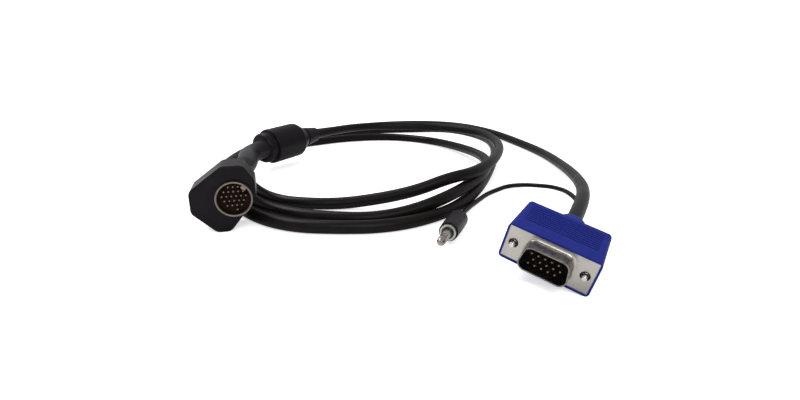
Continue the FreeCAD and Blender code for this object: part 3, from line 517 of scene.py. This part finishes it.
def round_bar(radius, low, high, bevel, sides=40):
    start_clean()
    bpy.ops.mesh.primitive_cylinder_add(vertices=sides, radius=radius, depth=high - low,
                                        location=(0.0, 0.0, (high + low) / 2))
    bar = bpy.context.object
    edge = bar.modifiers.new("edge", "BEVEL")
    edge.width = bevel
    edge.segments = 3
    edge.limit_method = "ANGLE"
    apply_all(bar)
    return bar


def cut_thread():
    start_clean()
    profile = bpy.data.meshes.new("thread")
    depth = THREAD_RADIUS - THREAD_ROOT
    shoulder = THREAD_RADIUS - depth * CREST_FALL
    # each point of the profile is a radius and a share of the pitch
    rise = [(THREAD_ROOT - SINK, 0.0), (THREAD_ROOT, 0.08), (shoulder, 0.44), (THREAD_RADIUS, 0.5),
            (shoulder, 0.56), (THREAD_ROOT, 0.92), (THREAD_ROOT - SINK, 1.0)]
    profile.from_pydata([(radius, 0.0, part * THREAD_PITCH) for radius, part in rise],
                        [(i, i + 1) for i in range(len(rise) - 1)], [])
    thread = bpy.data.objects.new("thread", profile)
    scene.collection.objects.link(thread)
    thread.location = (0.0, 0.0, THREAD_END - THREAD_PITCH * THREAD_TURNS)
    winding = thread.modifiers.new("winding", "SCREW")
    winding.axis = "Z"
    winding.angle = math.tau
    winding.screw_offset = THREAD_PITCH
    winding.iterations = THREAD_TURNS - 1
    winding.steps = THREAD_STEPS
    winding.render_steps = THREAD_STEPS
    winding.use_merge_vertices = True
    apply_all(thread)
    return thread


def jackscrew(name, node, side):
    shank = round_bar(THREAD_ROOT, HEAD_FRONT - SHANK_IN_HEAD, THREAD_END + SHANK_IN_POINT, SHANK_EDGE)
    point = round_bar(POINT_RADIUS, THREAD_END - POINT_IN_THREAD, SCREW_REACH, POINT_EDGE)
    thread = cut_thread()
    head = round_bar(HEAD_RADIUS, HEAD_BACK, HEAD_FRONT, HEAD_EDGE, sides=48)
    start_clean()
    bpy.ops.mesh.primitive_cube_add(size=1.0, location=(0.0, 0.0, HEAD_BACK))
    slot = bpy.context.object
    slot.scale = SLOT_SIZE
    cut = head.modifiers.new("slot", "BOOLEAN")
    cut.operation = "DIFFERENCE"
    cut.object = slot
    apply_all(head)
    bpy.data.objects.remove(slot)
    start_clean()
    for piece in (shank, point, thread, head):
        piece.select_set(True)
    bpy.context.view_layer.objects.active = head
    bpy.ops.object.join()
    bpy.ops.object.transform_apply(location=True, rotation=True, scale=True)
    bpy.ops.object.mode_set(mode="EDIT")
    bpy.ops.mesh.select_all(action="SELECT")
    bpy.ops.mesh.normals_make_consistent(inside=False)
    bpy.ops.object.mode_set(mode="OBJECT")
    bpy.ops.object.shade_smooth_by_angle(angle=math.radians(38))
    head.name = name
    head.data.name = name
    head.data.transform(VGA @ Matrix.Translation((side * SCREW_OFFSET, 0.0, 0.0)))
    head.data.materials.clear()
    head.data.materials.append(SCREW)
    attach(head, node.replace("vga_", ""))
    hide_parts(node)


jackscrew("jackscrew_left", "vga_screw_left", -1)
jackscrew("jackscrew_right", "vga_screw_right", 1)

# Dark moulded step round the root of the small plug's pin: radius and height of each ring, from the hole outwards
# and back

COLLAR_HOLE = 0.00172
COLLAR_SIDES = 48
COLLAR_SINK = -0.0001
COLLAR_RINGS = [(0.00262, 0.0), (0.00262, 0.00022), (0.0025, 0.00032), (0.0019, 0.00032), (COLLAR_HOLE, 0.00022)]


def pin_collar():
    start_clean()
    bpy.ops.mesh.primitive_circle_add(vertices=COLLAR_SIDES, radius=COLLAR_HOLE, fill_type="NOTHING",
                                      location=(0.0, 0.0, COLLAR_SINK))
    collar = bpy.context.object
    bpy.ops.object.mode_set(mode="EDIT")
    bpy.ops.mesh.select_all(action="SELECT")
    for radius, height in COLLAR_RINGS:
        bpy.ops.mesh.extrude_edges_indiv()
        bpy.ops.object.mode_set(mode="OBJECT")
        for vertex in collar.data.vertices:
            if vertex.select:
                flat = Vector((vertex.co.x, vertex.co.y, 0.0)).normalized() * radius
                vertex.co = Vector((flat.x, flat.y, height))
        bpy.ops.object.mode_set(mode="EDIT")
    bpy.ops.mesh.select_all(action="SELECT")
    bpy.ops.mesh.remove_doubles(threshold=0.000001)
    bpy.ops.mesh.normals_make_consistent(inside=False)
    bpy.ops.object.mode_set(mode="OBJECT")
    bpy.ops.object.transform_apply(location=True, rotation=True, scale=True)
    bpy.ops.object.shade_smooth_by_angle(angle=math.radians(35))
    collar.name = "jack_pin_collar"
    collar.data.name = "jack_pin_collar"
    collar.data.transform(JACK)
    collar.data.materials.append(BANDS)
    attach(collar, "cable")


pin_collar()

# Bent moulded sleeve over the cable between the round plug's neck and the ferrite: how far along the cable,
# and the sleeve's radius there

SLEEVE = [(0.0230, 0.0043), (0.0262, 0.0044), (0.0305, 0.0052), (0.0600, 0.00545), (0.0840, 0.0056),
          (0.0965, 0.0058), (0.0983, 0.0052)]
SLEEVE_SIDES = 40
SLEEVE_STEPS = 60


def cord_points(route):
    data = route_curve("measure", route, MEASURE_RESOLUTION)
    thread = bpy.data.objects.new("measure", data)
    scene.collection.objects.link(thread)
    mesh = bpy.data.meshes.new_from_object(thread)
    points = [vertex.co.copy() for vertex in mesh.vertices]
    bpy.data.objects.remove(thread)
    bpy.data.curves.remove(data)
    bpy.data.meshes.remove(mesh)
    return points


def radius_at(profile, stop):
    radius = profile[0][1]
    for (low, r_low), (high, r_high) in zip(profile, profile[1:]):
        if low <= stop <= high:
            part = (stop - low) / (high - low)
            radius = r_low + (r_high - r_low) * (3 * part * part - 2 * part ** 3)
    return radius


def sleeve_on(name, points, profile, look):
    lengths = [0.0]
    for before, after in zip(points, points[1:]):
        lengths.append(lengths[-1] + (after - before).length)
    start, end = profile[0][0], profile[-1][0]
    stops = sorted({start, end, *[at for at, radius in profile],
                    *[start + (end - start) * i / SLEEVE_STEPS for i in range(SLEEVE_STEPS + 1)]})
    shape = bmesh.new()
    rings = []
    above = Vector((0.0, 0.0, 1.0))
    for stop in stops:
        i = max(k for k in range(len(lengths) - 1) if lengths[k] <= stop)
        share = (stop - lengths[i]) / (lengths[i + 1] - lengths[i])
        middle = points[i].lerp(points[i + 1], share)
        ahead = (points[i + 1] - points[i]).normalized()
        across = ahead.cross(above).normalized()
        upward = across.cross(ahead).normalized()
        radius = radius_at(profile, stop)
        rings.append([shape.verts.new(middle + across * radius * math.cos(turn) + upward * radius * math.sin(turn))
                      for turn in (math.tau * k / SLEEVE_SIDES for k in range(SLEEVE_SIDES))])
    for first, second in zip(rings, rings[1:]):
        for k in range(SLEEVE_SIDES):
            n = (k + 1) % SLEEVE_SIDES
            shape.faces.new((first[k], first[n], second[n], second[k]))
    shape.faces.new(list(reversed(rings[0])))
    shape.faces.new(rings[-1])
    bmesh.ops.recalc_face_normals(shape, faces=shape.faces)
    mesh = bpy.data.meshes.new(name)
    shape.to_mesh(mesh)
    shape.free()
    piece = bpy.data.objects.new(name, mesh)
    scene.collection.objects.link(piece)
    start_clean()
    piece.select_set(True)
    bpy.context.view_layer.objects.active = piece
    bpy.ops.object.shade_smooth_by_angle(angle=math.radians(40))
    mesh.materials.append(look)
    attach(piece, "cable")


sleeve_on("plug_sleeve", cord_points(MAIN_ROUTE), SLEEVE, MOULDING)

# Floor: white, with a share of glow that the camera sees, so that its shadows stay faint

FLOOR_GLOW = 0.58
FLOOR_REACH = 6.0
FLOOR_MIDDLE = (0.0, 2.0, 0.0)

floor_mesh = bpy.data.meshes.new("floor")
shape = bmesh.new()
bmesh.ops.create_grid(shape, x_segments=2, y_segments=2, size=FLOOR_REACH)
shape.to_mesh(floor_mesh)
shape.free()
floor = bpy.data.objects.new("floor", floor_mesh)
floor.location = FLOOR_MIDDLE
scene.collection.objects.link(floor)
white = bpy.data.materials.new("studio_floor")
white.use_nodes = True
tree = white.node_tree
surface = tree.nodes["Principled BSDF"]
surface.inputs["Base Color"].default_value = (0.90, 0.90, 0.90, 1)
surface.inputs["Roughness"].default_value = 1.0
surface.inputs["Specular IOR Level"].default_value = 0.0
path = tree.nodes.new("ShaderNodeLightPath")
seen_or_through = tree.nodes.new("ShaderNodeMath")
seen_or_through.operation = "MAXIMUM"
tree.links.new(path.outputs["Is Camera Ray"], seen_or_through.inputs[0])
tree.links.new(path.outputs["Is Transmission Ray"], seen_or_through.inputs[1])
glow = tree.nodes.new("ShaderNodeMath")
glow.operation = "MULTIPLY"
glow.inputs[1].default_value = FLOOR_GLOW
tree.links.new(seen_or_through.outputs[0], glow.inputs[0])
surface.inputs["Emission Color"].default_value = (1.0, 1.0, 1.0, 1)
tree.links.new(glow.outputs[0], surface.inputs["Emission Strength"])
floor_mesh.materials.append(white)

# Surroundings and lights: the camera sees a brighter white than the one that lights the cable

WORLD_LIGHT = 0.62
WORLD_SEEN = 1.1

world = bpy.data.worlds.new("studio")
scene.world = world
world.use_nodes = True
tree = world.node_tree
back = tree.nodes["Background"]
back.inputs["Color"].default_value = (1, 1, 1, 1)
back.inputs["Strength"].default_value = WORLD_LIGHT
seen = tree.nodes.new("ShaderNodeBackground")
seen.inputs["Color"].default_value = (1, 1, 1, 1)
seen.inputs["Strength"].default_value = WORLD_SEEN
path = tree.nodes.new("ShaderNodeLightPath")
choose = tree.nodes.new("ShaderNodeMixShader")
tree.links.new(path.outputs["Is Camera Ray"], choose.inputs["Fac"])
tree.links.new(back.outputs["Background"], choose.inputs[1])
tree.links.new(seen.outputs["Background"], choose.inputs[2])
tree.links.new(choose.outputs["Shader"], tree.nodes["World Output"].inputs["Surface"])


def soft_light(name, spot, target, width, height, power):
    data = bpy.data.lights.new(name, "AREA")
    data.shape = "RECTANGLE"
    data.size = width
    data.size_y = height
    data.energy = power
    lamp = bpy.data.objects.new(name, data)
    lamp.location = spot
    lamp.rotation_mode = "QUATERNION"
    lamp.rotation_quaternion = (Vector(target) - Vector(spot)).to_track_quat("-Z", "Y")
    scene.collection.objects.link(lamp)


soft_light("key", (-0.55, 0.35, 0.95), (0.0, 0.0, 0.0), 0.7, 0.5, 7.5)
soft_light("front", (0.15, -0.75, 0.65), (0.02, -0.02, 0.0), 0.6, 0.4, 4.0)

scene.view_settings.view_transform = "Standard"
scene.view_settings.look = "None"
